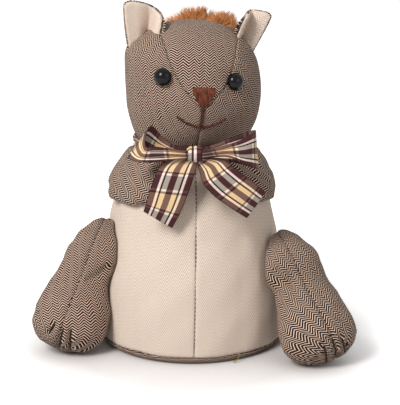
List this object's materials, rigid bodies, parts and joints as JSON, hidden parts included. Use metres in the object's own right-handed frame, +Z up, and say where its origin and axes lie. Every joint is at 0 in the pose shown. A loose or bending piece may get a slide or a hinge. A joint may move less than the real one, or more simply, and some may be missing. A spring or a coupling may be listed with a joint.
{
  "type": "weighted fabric door stop",
  "caption": "Sand-weighted cloth door stop sewn as a sitting squirrel with a flat round base, herringbone head and limbs, long-pile tail and a plaid ribbon bow; holds a door open.",
  "frame": {"origin": "centre of the flat round base, on the floor", "axes": "+Z up, the squirrel's face looks along -Y, +X is on the right for someone facing it"},
  "size_m": [0.2478, 0.2129, 0.2686],
  "materials": {
    "tweed": "brown and cream herringbone tweed",
    "linen": "cream herringbone linen",
    "fur": "ginger long pile",
    "plaid_ribbon": "woven plaid ribbon, slight sheen",
    "stitching": "brown satin stitch",
    "sand_bag_cloth": "plain cotton",
    "filling": "polyester fibre",
    "eye_plastic": "polished black",
    "washer_plastic": "natural"
  },
  "bodies": {
    "root": {"front_panel_left": "linen", "front_panel_right": "linen", "back_panel": "tweed", "base_panel": "tweed", "sand_bag": "sand_bag_cloth", "body_filling": "filling", "head_gusset": "tweed", "head_side_left": "tweed", "head_side_right": "tweed", "head_filling": "filling", "eye_left": "eye_plastic", "eye_right": "eye_plastic", "eye_washer_left": "washer_plastic", "eye_washer_right": "washer_plastic", "nose_stitching": "stitching", "mouth_stitching": "stitching", "ear_back_left": "tweed", "ear_lining_left": "linen", "ear_back_right": "tweed", "ear_lining_right": "linen", "arm_left": "tweed", "arm_right": "tweed", "leg_left": "tweed", "leg_right": "tweed", "tail": "fur", "ribbon_bow": "plaid_ribbon"}
  },
  "joints": []
}
